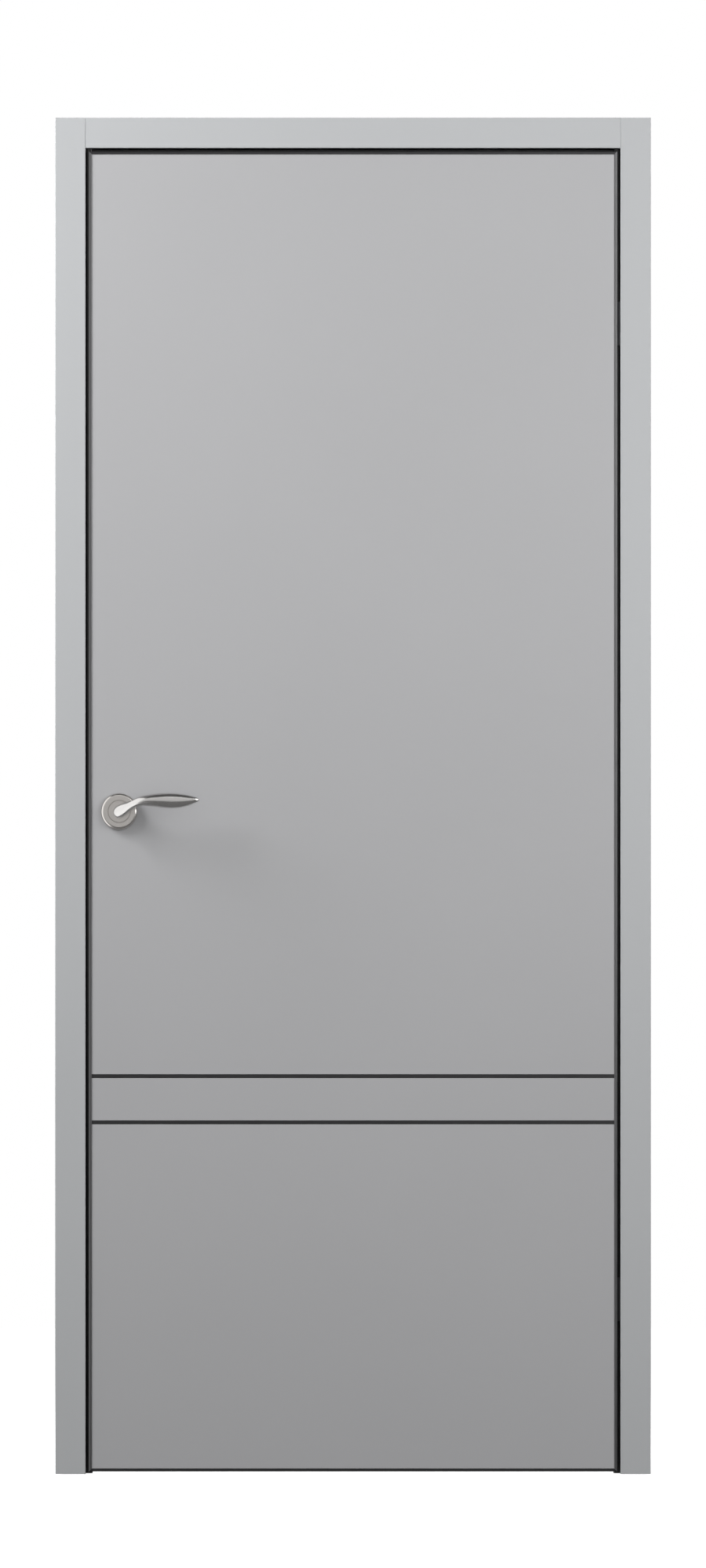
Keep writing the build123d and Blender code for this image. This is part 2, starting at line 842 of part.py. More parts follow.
# Lever: a round neck under a sloping arm that swells into a grip, with a round end at both ends.
# Each station gives its place along, its rise and its reach from the leaf as shares of the lever's
# length, rise and reach, then its height and depth as shares of the grip's.
arm_stations = (
    (0.000, 0.00, 0.560, 0.76, 0.62),
    (0.055, 0.21, 0.640, 0.74, 0.62),
    (0.125, 0.49, 0.760, 0.56, 0.61),
    (0.200, 0.76, 0.868, 0.54, 0.68),
    (0.280, 0.94, 0.920, 0.62, 0.82),
    (0.370, 1.01, 0.950, 0.73, 0.95),
    (0.500, 1.02, 0.972, 0.90, 1.00),
    (0.645, 0.99, 0.980, 1.00, 0.95),
    (0.785, 0.99, 0.975, 0.88, 0.86),
    (0.900, 1.04, 0.968, 0.59, 0.68),
    (0.955, 1.065, 0.963, 0.38, 0.50),
    (0.988, 1.08, 0.960, 0.21, 0.30),
    (1.000, 1.085, 0.959, 0.05, 0.08),
)
# The heel of the arm, behind the neck: each station's place as a share of half the arm's height
# over the neck, then its height and depth as shares of the arm's there.
heel_stations = (
    (1.13, 0.06, 0.10),
    (1.09, 0.26, 0.40),
    (0.95, 0.54, 0.70),
    (0.56, 0.87, 0.93),
)


def lever(face, outward):
    """A lever on one face of the leaf, with a square socket for the spindle."""
    base = Vector(spindle_x, face, spindle_z)
    out = Vector(0, outward, 0)
    up = Vector(0, 0, 1)
    along = Vector(1, 0, 0)
    places = []
    heights = []
    depths = []
    for length, rise, reach, height, depth in arm_stations:
        places.append(
            base
            + along * (length * lever_length)
            + up * (rise * lever_rise)
            + out * (reach * lever_reach)
        )
        heights.append(height * grip_height)
        depths.append(depth * grip_depth)
    root = places[0]
    root_height = heights[0]
    root_depth = depths[0]
    slope = (places[1] - root).normalized()
    for back, height, depth in reversed(heel_stations):
        places.insert(0, root - slope * (back * root_height / 2))
        heights.insert(0, height * root_height)
        depths.insert(0, depth * root_depth)
    with BuildSketch(Plane(origin=base + out * neck_standoff, x_dir=along, z_dir=out)) as neck:
        Circle(neck_radius)
    extrude(neck.sketch, amount=lever_reach - neck_standoff)
    lean = (out - slope * out.dot(slope)).normalized()
    split(bisect_by=Plane(origin=root, z_dir=lean), keep=Keep.BOTTOM)
    followers = places[1:] + places[-1:]
    leaders = places[:1] + places[:-1]
    sections = []
    for place, leader, follower, height, depth in zip(
        places, leaders, followers, heights, depths
    ):
        heading = (follower - leader).normalized()
        upright = (up - heading * up.dot(heading)).normalized()
        seat = Plane(origin=place, x_dir=upright, z_dir=heading)
        with BuildSketch(seat) as section:
            Ellipse(height / 2, depth / 2)
        sections.append(section.sketch.face())
    loft(sections=sections)
    socket_width = spindle_width + 2 * spindle_clearance
    with BuildSketch(Plane(origin=base, x_dir=along, z_dir=out)) as socket:
        Rectangle(socket_width, socket_width)
    extrude(
        socket.sketch, amount=spindle_engagement + spindle_clearance, mode=Mode.SUBTRACT
    )


with BuildPart() as front_lever:
    lever(skin_front, -1)
front_lever.part.label = "front_lever"
export_step(front_lever.part, "parts/front_lever.step")

with BuildPart() as back_lever:
    mirror(front_lever.part, about=Plane.XZ.offset(-leaf_middle))
back_lever.part.label = "back_lever"
export_step(back_lever.part, "parts/back_lever.step")

with BuildPart() as spindle:
    block(
        spindle_x - spindle_width / 2,
        spindle_x + spindle_width / 2,
        skin_front - spindle_engagement,
        skin_back + spindle_engagement,
        spindle_z - spindle_width / 2,
        spindle_z + spindle_width / 2,
    )
spindle.part.label = "spindle"
export_step(spindle.part, "parts/spindle.step")

# Hinge cups in the jamb and in the leaf, and the links between them
with BuildPart() as upper_hinge_frame_cup:
    hinge_cup(hinge_rebate, 1, hinge_heights[0])
upper_hinge_frame_cup.part.label = "upper_hinge_frame_cup"
export_step(upper_hinge_frame_cup.part, "parts/upper_hinge_frame_cup.step")

with BuildPart() as lower_hinge_frame_cup:
    hinge_cup(hinge_rebate, 1, hinge_heights[1])
lower_hinge_frame_cup.part.label = "lower_hinge_frame_cup"
export_step(lower_hinge_frame_cup.part, "parts/lower_hinge_frame_cup.step")

with BuildPart() as upper_hinge_leaf_cup:
    hinge_cup(leaf_hinge_side, -1, hinge_heights[0])
upper_hinge_leaf_cup.part.label = "upper_hinge_leaf_cup"
export_step(upper_hinge_leaf_cup.part, "parts/upper_hinge_leaf_cup.step")

with BuildPart() as lower_hinge_leaf_cup:
    hinge_cup(leaf_hinge_side, -1, hinge_heights[1])
lower_hinge_leaf_cup.part.label = "lower_hinge_leaf_cup"
export_step(lower_hinge_leaf_cup.part, "parts/lower_hinge_leaf_cup.step")

with BuildPart() as upper_hinge_link:
    hinge_link(hinge_heights[0])
upper_hinge_link.part.label = "upper_hinge_link"
export_step(upper_hinge_link.part, "parts/upper_hinge_link.step")

with BuildPart() as lower_hinge_link:
    hinge_link(hinge_heights[1])
lower_hinge_link.part.label = "lower_hinge_link"
export_step(lower_hinge_link.part, "parts/lower_hinge_link.step")
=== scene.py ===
import logging
import math
from dataclasses import dataclass
from enum import Enum

import bmesh
import bpy
from mathutils import Matrix, Vector


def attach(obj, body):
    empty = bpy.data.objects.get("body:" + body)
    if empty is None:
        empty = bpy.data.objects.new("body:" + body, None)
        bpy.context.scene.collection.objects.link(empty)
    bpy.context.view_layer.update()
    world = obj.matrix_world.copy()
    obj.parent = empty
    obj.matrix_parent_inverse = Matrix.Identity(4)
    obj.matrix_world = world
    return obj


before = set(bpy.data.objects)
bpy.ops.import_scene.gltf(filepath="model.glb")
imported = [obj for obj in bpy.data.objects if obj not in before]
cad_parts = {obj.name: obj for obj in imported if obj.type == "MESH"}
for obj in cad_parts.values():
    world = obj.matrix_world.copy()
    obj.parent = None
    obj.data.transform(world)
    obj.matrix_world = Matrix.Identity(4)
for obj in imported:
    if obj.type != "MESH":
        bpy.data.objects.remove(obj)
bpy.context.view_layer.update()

log = logging.getLogger("door_set")

Socket = bpy.types.NodeSocket
Point = tuple[float, float, float]
Colour = tuple[float, float, float, float]

WHITE: Colour = (1.0, 1.0, 1.0, 1.0)
NOISE_RANGE = (0.3, 0.7)
WELD = 1e-6
SHARP_ANGLE = math.radians(35.0)


class Body(Enum):
    """The rigid bodies that new pieces ride on."""

    FRAME = "frame"
    LEAF = "leaf"
    HANDLE = "lever_handle"


class Slot(Enum):
    """A material slot of the record; no piece in this script takes its finish from it."""

    STEEL = "plain_steel"


class Grain(Enum):
    """The way that drawn or brushed lines run, as a stretch of the pattern along X, Y and Z."""

    UPRIGHT = (1.0, 1.0, 0.012)
    LEVEL = (0.012, 1.0, 1.0)


class NodeSheet:
    """A new material's node tree, with short calls that add and join nodes."""

    def __init__(self, name: str) -> None:
        """Starts a material with one Principled shader.

        Args:
            name: The material's name.
        """
        self.material = bpy.data.materials.new(name)
        self.material.use_nodes = True
        self.tree = self.material.node_tree
        self.surface = self.tree.nodes["Principled BSDF"]

    def add(self, kind: str, **settings: object) -> bpy.types.Node:
        """Adds a node and sets its properties.

        Args:
            kind: The node's type name, without the ShaderNode prefix.
            **settings: Properties of the node.

        Returns:
            The new node.
        """
        node = self.tree.nodes.new("ShaderNode" + kind)
        for key, value in settings.items():
            setattr(node, key, value)
        return node

    def join(self, source: Socket, target: Socket) -> None:
        """Links an output to an input."""
        self.tree.links.new(source, target)

    def place(self, stretch: Point = (1.0, 1.0, 1.0)) -> Socket:
        """Gives the surface's own coordinates, in metres.

        Args:
            stretch: Scale of the pattern along X, Y and Z.

        Returns:
            The vector socket of a Mapping node.
        """
        coordinates = self.add("TexCoord")
        mapping = self.add("Mapping")
        mapping.inputs["Scale"].default_value = stretch
        self.join(coordinates.outputs["Object"], mapping.inputs["Vector"])
        return mapping.outputs["Vector"]

    def noise(self, vector: Socket, scale: float, detail: float) -> Socket:
        """Adds a noise pattern.

        Args:
            vector: Where the pattern is read.
            scale: Its cells per metre.
            detail: Its octaves.

        Returns:
            The pattern's value, about 0.3 to 0.7.
        """
        node = self.add("TexNoise")
        node.inputs["Scale"].default_value = scale
        node.inputs["Detail"].default_value = detail
        self.join(vector, node.inputs["Vector"])
        return node.outputs["Fac"]

    def spread(self, value: Socket, low: float, high: float) -> Socket:
        """Maps a noise value to a range.

        Args:
            value: A noise pattern's value.
            low: The result where the noise is low.
            high: The result where it is high.

        Returns:
            The mapped value.
        """
        node = self.add("MapRange")
        node.inputs["From Min"].default_value = NOISE_RANGE[0]
        node.inputs["From Max"].default_value = NOISE_RANGE[1]
        node.inputs["To Min"].default_value = low
        node.inputs["To Max"].default_value = high
        self.join(value, node.inputs["Value"])
        return node.outputs["Result"]

    def blend(self, factor: Socket, first: Colour, second: Colour) -> Socket:
        """Blends two colours by a value.

        Args:
            factor: 0 gives the first colour and 1 the second.
            first: A linear colour.
            second: A linear colour.

        Returns:
            The blended colour.
        """
        node = self.add("Mix", data_type="RGBA")
        node.inputs["A"].default_value = first
        node.inputs["B"].default_value = second
        self.join(factor, node.inputs["Factor"])
        return node.outputs["Result"]

    def emboss(self, height: Socket, strength: float, depth: float) -> None:
        """Gives the surface a fine relief.

        Args:
            height: A pattern's value.
            strength: How much of the relief shows.
            depth: Its depth in metres.
        """
        node = self.add("Bump")
        node.inputs["Strength"].default_value = strength
        node.inputs["Distance"].default_value = depth
        self.join(height, node.inputs["Height"])
        self.join(node.outputs["Normal"], self.surface.inputs["Normal"])


def shade(colour: Colour, factor: float) -> Colour:
    """Darkens or lightens a colour and keeps its alpha."""
    return (colour[0] * factor, colour[1] * factor, colour[2] * factor, colour[3])


@dataclass(frozen=True)
class SatinPaint:
    """Sprayed satin paint on fibre board, with a faint orange peel."""

    name: str
    colour: Colour
    roughness: float = 0.46
    cloud_scale: float = 2.4
    cloud_depth: float = 0.012
    peel_scale: float = 520.0
    peel_strength: float = 0.10
    peel_depth: float = 0.00035

    def make(self) -> bpy.types.Material:
        """Builds the material."""
        sheet = NodeSheet(self.name)
        place = sheet.place()
        clouds = sheet.spread(sheet.noise(place, self.cloud_scale, 3.0), 0.0, 1.0)
        tint = sheet.blend(
            clouds,
            shade(self.colour, 1.0 - self.cloud_depth),
            shade(self.colour, 1.0 + self.cloud_depth),
        )
        sheet.join(tint, sheet.surface.inputs["Base Color"])
        grit = sheet.noise(place, self.peel_scale, 2.0)
        sheet.join(
            sheet.spread(grit, self.roughness - 0.04, self.roughness + 0.04),
            sheet.surface.inputs["Roughness"],
        )
        sheet.emboss(grit, self.peel_strength, self.peel_depth)
        return sheet.material


@dataclass(frozen=True)
class DrawnMetal:
    """Drawn or brushed metal, with fine lines along its grain."""

    name: str
    colour: Colour
    grain: Grain
    roughness: float
    line_scale: float = 2600.0
    line_strength: float = 0.12
    line_depth: float = 0.00006
    tone: float = 0.10
    rim: float = 1.0

    def make(self) -> bpy.types.Material:
        """Builds the material."""
        sheet = NodeSheet(self.name)
        sheet.surface.inputs["Metallic"].default_value = 1.0
        sheet.surface.inputs["Specular Tint"].default_value = (self.rim, self.rim, self.rim, 1.0)
        lines = sheet.noise(sheet.place(self.grain.value), self.line_scale, 2.0)
        tint = sheet.blend(
            sheet.spread(lines, 0.0, 1.0),
            shade(self.colour, 1.0 - self.tone),
            shade(self.colour, 1.0 + self.tone),
        )
        sheet.join(tint, sheet.surface.inputs["Base Color"])
        sheet.join(
            sheet.spread(lines, self.roughness - 0.05, self.roughness + 0.05),
            sheet.surface.inputs["Roughness"],
        )
        sheet.emboss(lines, self.line_strength, self.line_depth)
        return sheet.material


@dataclass(frozen=True)
class TurnedMetal:
    """Metal turned on a lathe and brushed, with fine rings about the spindle."""

    name: str
    colour: Colour
    roughness: float
    centre: Point
    ring_scale: float = 420.0
    ring_strength: float = 0.05
    ring_depth: float = 0.00004
    tone: float = 0.03
    rim: float = 0.0

    def make(self) -> bpy.types.Material:
        """Builds the material."""
        sheet = NodeSheet(self.name)
        sheet.surface.inputs["Metallic"].default_value = 1.0
        sheet.surface.inputs["Specular Tint"].default_value = (self.rim, self.rim, self.rim, 1.0)
        coordinates = sheet.add("TexCoord")
        mapping = sheet.add("Mapping")
        mapping.inputs["Location"].default_value = [-value for value in self.centre]
        sheet.join(coordinates.outputs["Object"], mapping.inputs["Vector"])
        rings = sheet.add("TexWave", wave_type="RINGS", rings_direction="Y")
        rings.inputs["Scale"].default_value = self.ring_scale
        rings.inputs["Distortion"].default_value = 3.0
        rings.inputs["Detail"].default_value = 3.0
        rings.inputs["Detail Scale"].default_value = 0.4
        sheet.join(mapping.outputs["Vector"], rings.inputs["Vector"])
        tint = sheet.blend(
            rings.outputs["Fac"],
            shade(self.colour, 1.0 - self.tone),
            shade(self.colour, 1.0 + self.tone),
        )
        sheet.join(tint, sheet.surface.inputs["Base Color"])
        sheet.join(
            sheet.spread(rings.outputs["Fac"], self.roughness - 0.03, self.roughness + 0.03),
            sheet.surface.inputs["Roughness"],
        )
        sheet.emboss(rings.outputs["Fac"], self.ring_strength, self.ring_depth)
        return sheet.material


@dataclass(frozen=True)
class SealRubber:
    """Soft black rubber with the smooth, slightly dusty skin that it keeps from its die."""

    name: str
    colour: Colour
    dust: Colour
    roughness: float = 0.20
    shine: float = 0.9
    haze_scale: float = 40.0
    skin_scale: float = 1400.0
    skin_strength: float = 0.05
    skin_depth: float = 0.0001

    def make(self) -> bpy.types.Material:
        """Builds the material."""
        sheet = NodeSheet(self.name)
        sheet.surface.inputs["Specular IOR Level"].default_value = self.shine
        place = sheet.place()
        haze = sheet.spread(sheet.noise(place, self.haze_scale, 4.0), 0.0, 1.0)
        sheet.join(sheet.blend(haze, self.colour, self.dust), sheet.surface.inputs["Base Color"])
        skin = sheet.noise(place, self.skin_scale, 2.0)
        sheet.join(
            sheet.spread(skin, self.roughness - 0.05, self.roughness + 0.05),
            sheet.surface.inputs["Roughness"],
        )
        sheet.emboss(skin, self.skin_strength, self.skin_depth)
        return sheet.material


@dataclass(frozen=True)
class RawBoard:
    """Raw particle board, pressed from chips of several tones."""

    name: str
    dark: Colour
    light: Colour
    chip_scale: float = 260.0
    chip_stretch: Point = (1.0, 1.0, 0.45)
    chip_strength: float = 0.4
    chip_depth: float = 0.0004
    roughness: float = 0.85

    def make(self) -> bpy.types.Material:
        """Builds the material."""
        sheet = NodeSheet(self.name)
        sheet.surface.inputs["Roughness"].default_value = self.roughness
        chips = sheet.add("TexVoronoi", feature="F1")
        chips.inputs["Scale"].default_value = self.chip_scale
        sheet.join(sheet.place(self.chip_stretch), chips.inputs["Vector"])
        tint = sheet.blend(chips.outputs["Distance"], self.dark, self.light)
        sheet.join(tint, sheet.surface.inputs["Base Color"])
        sheet.emboss(chips.outputs["Distance"], self.chip_strength, self.chip_depth)
        return sheet.material


SPINDLE = (-0.799, -0.031, 1.004)

LEAF_PAINT = SatinPaint("leaf_paint", (0.382, 0.382, 0.391, 1.0))
# The architraves' paint is the leaf's grey made lighter and a little cooler. The extra lightness is
# painted light for the brighter light on the architraves, and the cooler tint is their own.
ARCHITRAVE_PAINT_WITH_PAINTED_LIGHT = SatinPaint("architrave_paint", (0.418, 0.427, 0.436, 1.0))
FRAME_PAINT = SatinPaint("frame_paint", (0.418, 0.427, 0.436, 1.0))
CORE_BOARD = RawBoard("core_board", (0.30, 0.20, 0.12, 1.0), (0.58, 0.44, 0.29, 1.0))
# The leaf's black metal edge is one profile. Its uprights get a lighter copy of its colour as painted
# light, and its top and bottom bars get a darker copy as painted shade, for how light falls on them.
UPRIGHT_EDGE_PAINTED_LIGHT = DrawnMetal(
    "black_edge_upright_painted_light", (0.200, 0.200, 0.203, 1.0), Grain.UPRIGHT, 0.40, rim=0.3
)
LEVEL_EDGE_PAINTED_SHADE = DrawnMetal("black_edge_level_painted_shade", (0.070, 0.070, 0.072, 1.0), Grain.LEVEL, 0.40, rim=0.5)
STRIP_BLACK = DrawnMetal("black_strip", (0.080, 0.080, 0.082, 1.0), Grain.LEVEL, 0.42, rim=0.5)
SEAL_BLACK = SealRubber("black_seal", (0.040, 0.040, 0.041, 1.0), (0.065, 0.065, 0.067, 1.0))
SATIN_NICKEL = DrawnMetal(
    "satin_nickel", (0.765, 0.750, 0.735, 1.0), Grain.LEVEL, 0.20, tone=0.03, rim=0.0
)
TURNED_NICKEL = TurnedMetal("turned_nickel", (0.780, 0.748, 0.715, 1.0), 0.24, SPINDLE)
DARK_PLATE = DrawnMetal("dark_hardware", (0.12, 0.12, 0.125, 1.0), Grain.UPRIGHT, 0.36)
DRAWN_STEEL = DrawnMetal("plain_steel", (0.42, 0.42, 0.42, 1.0), Grain.UPRIGHT, 0.32)
SCREW_STEEL = DrawnMetal("screw_steel", (0.30, 0.30, 0.305, 1.0), Grain.LEVEL, 0.30)


def finish_piece(
    name: str, shape: bmesh.types.BMesh, finish: bpy.types.Material, body: Body
) -> None:
    """Makes a finished piece of a bmesh and hands it to its body.

    Args:
        name: The piece's name.
        shape: Its mesh, in the part's own frame; it is freed.
        finish: Its material.
        body: The body that it rides on.
    """
    bmesh.ops.remove_doubles(shape, verts=shape.verts, dist=WELD)
    bmesh.ops.recalc_face_normals(shape, faces=shape.faces)
    for face in shape.faces:
        face.smooth = True
    mesh = bpy.data.meshes.new(name)
    shape.to_mesh(mesh)
    shape.free()
    mesh.set_sharp_from_angle(angle=SHARP_ANGLE)
    mesh.materials.append(finish)
    piece = bpy.data.objects.new(name, mesh)
    bpy.context.scene.collection.objects.link(piece)
    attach(piece, body.value)
    log.info("built %s", name)


class Drive(Enum):
    """The recess in a screw's head: its corners, and how far they stand out from its flats."""

    STAR = (6, 0.20)
    HEXAGON = (6, 0.13)


@dataclass(frozen=True)
class Seat:
    """The place of one screw: the middle of its head, the way it faces and its turn."""

    place: Point
    facing: Point
    turn: float = 0.0

    def matrix(self) -> Matrix:
        """Gives the placing of a screw that was made at the origin and faces up."""
        aim = Vector(self.facing).to_track_quat("Z", "Y").to_matrix().to_4x4()
        return Matrix.Translation(self.place) @ aim @ Matrix.Rotation(self.turn, 4, "Z")


@dataclass(frozen=True)
class Screw:
    """One screw: a turned outline with a recess for its key."""

    outline: tuple[tuple[float, float], ...]
    drive: Drive
    recess_depth: float
    steps: int = 48

    def make(self) -> bpy.types.Mesh:
        """Turns the outline and sinks the recess.

        Returns:
            A mesh at the origin, with its head up.
        """
        shape = bmesh.new()
        points = [shape.verts.new((radius, 0.0, height)) for radius, height in self.outline]
        edges = [shape.edges.new(pair) for pair in zip(points, points[1:])]
        bmesh.ops.spin(
            shape,
            geom=[*points, *edges],
            cent=(0.0, 0.0, 0.0),
            axis=(0.0, 0.0, 1.0),
            angle=math.tau,
            steps=self.steps,
            use_merge=True,
        )
        bmesh.ops.remove_doubles(shape, verts=shape.verts, dist=WELD)
        rim = [edge for edge in shape.edges if edge.is_boundary]
        corners, share = self.drive.value
        for vert in {vert for edge in rim for vert in edge.verts}:
            wave = 0.5 + 0.5 * math.cos(corners * math.atan2(vert.co.y, vert.co.x))
            vert.co.xy = vert.co.xy * (1.0 - share * (1.0 - wave))
        sunk = bmesh.ops.extrude_edge_only(shape, edges=rim)["geom"]
        floor = [item for item in sunk if isinstance(item, bmesh.types.BMVert)]
        bmesh.ops.translate(shape, vec=(0.0, 0.0, -self.recess_depth), verts=floor)
        lower = [item for item in sunk if isinstance(item, bmesh.types.BMEdge) and item.is_boundary]
        bmesh.ops.contextual_create(shape, geom=lower)
        mesh = bpy.data.meshes.new("screw")
        shape.to_mesh(mesh)
        shape.free()
        return mesh

    def drive_in(self, seats: list[Seat]) -> bmesh.types.BMesh:
        """Joins one screw for each seat into a single shape.

        Args:
            seats: The places of the screws.

        Returns:
            The joined shape, in the part's own frame.
        """
        template = self.make()
        joined = bmesh.new()
        for seat in seats:
            made = len(joined.verts)
            joined.from_mesh(template)
            bmesh.ops.transform(joined, matrix=seat.matrix(), verts=joined.verts[made:])
        bpy.data.meshes.remove(template)
        return joined


def sunk_screw(plate: float) -> Screw:
    """A countersunk screw for a plate of a given thickness, its head just under the plate's face."""
    outline = (
        (0.0, 0.0001 - plate),
        (0.0020, 0.0001 - plate),
        (0.0020, -0.00178),
        (0.00362, -0.00030),
        (0.00368, -0.00020),
        (0.00358, -0.00012),
        (0.0030, -0.00008),
        (0.00205, -0.00008),
    )
    return Screw(outline, Drive.STAR, 0.0011)


def dress(names: list[str], material: bpy.types.Material) -> None:
    """Gives CAD nodes their finish.

    Args:
        names: The nodes.
        material: Their material.
    """
    for name in names:
        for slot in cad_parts[name].material_slots:
            slot.material = material
        log.info("dressed %s in %s", name, material.name)


@dataclass
class DoorFrame:
    """Jambs, stops, seals and architraves, which stay still."""

    jambs: tuple[str, ...] = ("lock_jamb", "hinge_jamb", "head_jamb")
    stops: tuple[str, ...] = ("lock_stop", "hinge_stop", "head_stop")
    seals: tuple[str, ...] = ("lock_seal", "hinge_seal", "head_seal")
    sides: tuple[str, ...] = ("lock", "hinge", "head")

    def dress(self) -> None:
        """Paints the boards and blackens the seals."""
        dress([*self.jambs, *self.stops], FRAME_PAINT.make())
        names = [f"{face}_{side}_architrave" for face in ("front", "back") for side in self.sides]
        # The architraves' lighter grey is partly painted light.
        dress(names, ARCHITRAVE_PAINT_WITH_PAINTED_LIGHT.make())
        dress([*self.seals], SEAL_BLACK.make())


@dataclass
class DoorLeaf:
    """The leaf: core, skins, metal edge and inlaid strips."""

    def dress(self) -> None:
        """Gives every piece of the leaf its finish."""
        dress(["front_skin", "back_skin"], LEAF_PAINT.make())
        dress(["leaf_core"], CORE_BOARD.make())
        # The uprights take the lighter edge colour (painted light) and the top and bottom bars the
        # darker one (painted shade).
        dress(["lock_edge", "hinge_edge"], UPRIGHT_EDGE_PAINTED_LIGHT.make())
        dress(["top_edge", "bottom_edge"], LEVEL_EDGE_PAINTED_SHADE.make())
        strips = [
            f"{face}_{place}_strip" for face in ("front", "back") for place in ("upper", "lower")
        ]
        dress(strips, STRIP_BLACK.make())


@dataclass
class HandleSet:
    """Levers, roses, the spindle between them and the grub screws that hold the levers on it."""

    neck_radius: float = 0.0074
    grub_stands: tuple[float, float] = (-0.0665, 0.0045)
    grub_turn: float = 0.3
    grub: Screw = Screw(
        ((0.0, -0.0012), (0.0019, -0.0012), (0.0019, 0.0001), (0.0018, 0.0002), (0.0010, 0.0002)),
        Drive.HEXAGON,
        0.0010,
    )

    def build(self) -> None:
        """Sets a grub screw in the underside of each lever's neck."""
        seats = [
            Seat((SPINDLE[0], stand, SPINDLE[2] - self.neck_radius), (0.0, 0.0, -1.0), self.grub_turn)
            for stand in self.grub_stands
        ]
        screws = self.grub.drive_in(seats)
        finish_piece("lever_grub_screws", screws, SCREW_STEEL.make(), Body.HANDLE)

    def dress(self) -> None:
        """Plates the handles."""
        dress(["front_lever", "back_lever"], SATIN_NICKEL.make())
        dress(["front_rose", "back_rose"], TURNED_NICKEL.make())
        dress(["spindle"], DRAWN_STEEL.make())


@dataclass
class Hardware:
    """Lock, strike plate and concealed hinges, with their screws."""

    frame_face: float = -0.040
    leaf_face: float = -0.045
    hinge_depth: float = -0.02975
    hinge_heights: tuple[float, float] = (1.744, 0.264)
    flange_columns: float = 0.0065
    flange_rows: float = 0.065
    flange_thickness: float = 0.003
    flange_turn: float = 0.37
    strike_middle: Point = (-0.850, -0.031, 0.946)
    strike_rows: float = 0.049
    strike_thickness: float = 0.002
    strike_facing: Point = (1.0, 0.0, 0.0)
    strike_turn: float = 0.5
    forend_middle: Point = (-0.84425, -0.031, 0.975)
    forend_facing: Point = (-44.0, 1.5, 0.0)
    forend_rows: float = 0.0715
    forend_thickness: float = 0.003
    forend_turn: float = 0.8

    def flange_seats(self, face: float, facing: float, height: float) -> list[Seat]:
        """Gives the four screw places of one hinge flange.

        Args:
            face: Where the flange's outer face is along X.
            facing: The way it faces along X.
            height: The hinge's middle.

        Returns:
            The seats, each screw with a turn of its own.
        """
        places = [
            (face, self.hinge_depth + side * self.flange_columns, height + end * self.flange_rows)
            for side in (-1, 1)
            for end in (-1, 1)
        ]
        return [
            Seat(place, (facing, 0.0, 0.0), self.flange_turn * index + height)
            for index, place in enumerate(places)
        ]

    def pair_seats(self, middle: Point, rows: float, facing: Point, turn: float) -> list[Seat]:
        """Gives the places of two screws, one below a plate's middle and one above it.

        Args:
            middle: The middle of the plate's face.
            rows: How far each screw is from it.
            facing: The way the plate faces.
            turn: The turn of the upper screw; the lower one has the opposite turn.

        Returns:
            The two seats.
        """
        x, y, z = middle
        return [Seat((x, y, z + end * rows), facing, turn * end) for end in (-1, 1)]

    def build(self) -> None:
        """Drives the screws of the hinges, the strike plate and the lock."""
        steel = SCREW_STEEL.make()
        flange_screw = sunk_screw(self.flange_thickness)
        for place, height in zip(("upper", "lower"), self.hinge_heights):
            held = flange_screw.drive_in(self.flange_seats(self.frame_face, -1.0, height))
            finish_piece(f"{place}_hinge_frame_screws", held, steel, Body.FRAME)
            carried = flange_screw.drive_in(self.flange_seats(self.leaf_face, 1.0, height))
            finish_piece(f"{place}_hinge_leaf_screws", carried, steel, Body.LEAF)
        seats = self.pair_seats(
            self.strike_middle, self.strike_rows, self.strike_facing, self.strike_turn
        )
        strike = sunk_screw(self.strike_thickness).drive_in(seats)
        finish_piece("strike_plate_screws", strike, steel, Body.FRAME)
        seats = self.pair_seats(
            self.forend_middle, self.forend_rows, self.forend_facing, self.forend_turn
        )
        forend = sunk_screw(self.forend_thickness).drive_in(seats)
        finish_piece("forend_screws", forend, steel, Body.LEAF)

    def dress(self) -> None:
        """Plates the hardware."""
        cups = [
            f"{place}_hinge_{side}_cup" for place in ("upper", "lower") for side in ("frame", "leaf")
        ]
        links = ["upper_hinge_link", "lower_hinge_link"]
        dress([*cups, *links, "mortise_lock", "latch_bolt", "strike_plate"], DARK_PLATE.make())


@dataclass(frozen=True)
class SoftBox:
    """One soft rectangular studio light, which the camera doesn't see.

    One that isn't lit shows only in reflections, as a photographer's card does, and one that isn't
    mirrored shows in none.
    """

    name: str
    place: Point
    aim: Point
    width: float
    height: float
    watts: float
    mirrored: bool = True
    lit: bool = True

    def hang(self) -> None:
        """Hangs the light and turns it to its aim."""
        data = bpy.data.lights.new(self.name, "AREA")
        data.shape = "RECTANGLE"
        data.size = self.width
        data.size_y = self.height
        data.energy = self.watts
        lamp = bpy.data.objects.new(self.name, data)
        lamp.location = self.place
        lamp.rotation_mode = "QUATERNION"
        lamp.rotation_quaternion = (Vector(self.aim) - lamp.location).to_track_quat("-Z", "Y")
        lamp.visible_camera = False
        lamp.visible_glossy = self.mirrored
        lamp.visible_diffuse = self.lit
        bpy.context.scene.collection.objects.link(lamp)
        log.info("hung %s", self.name)


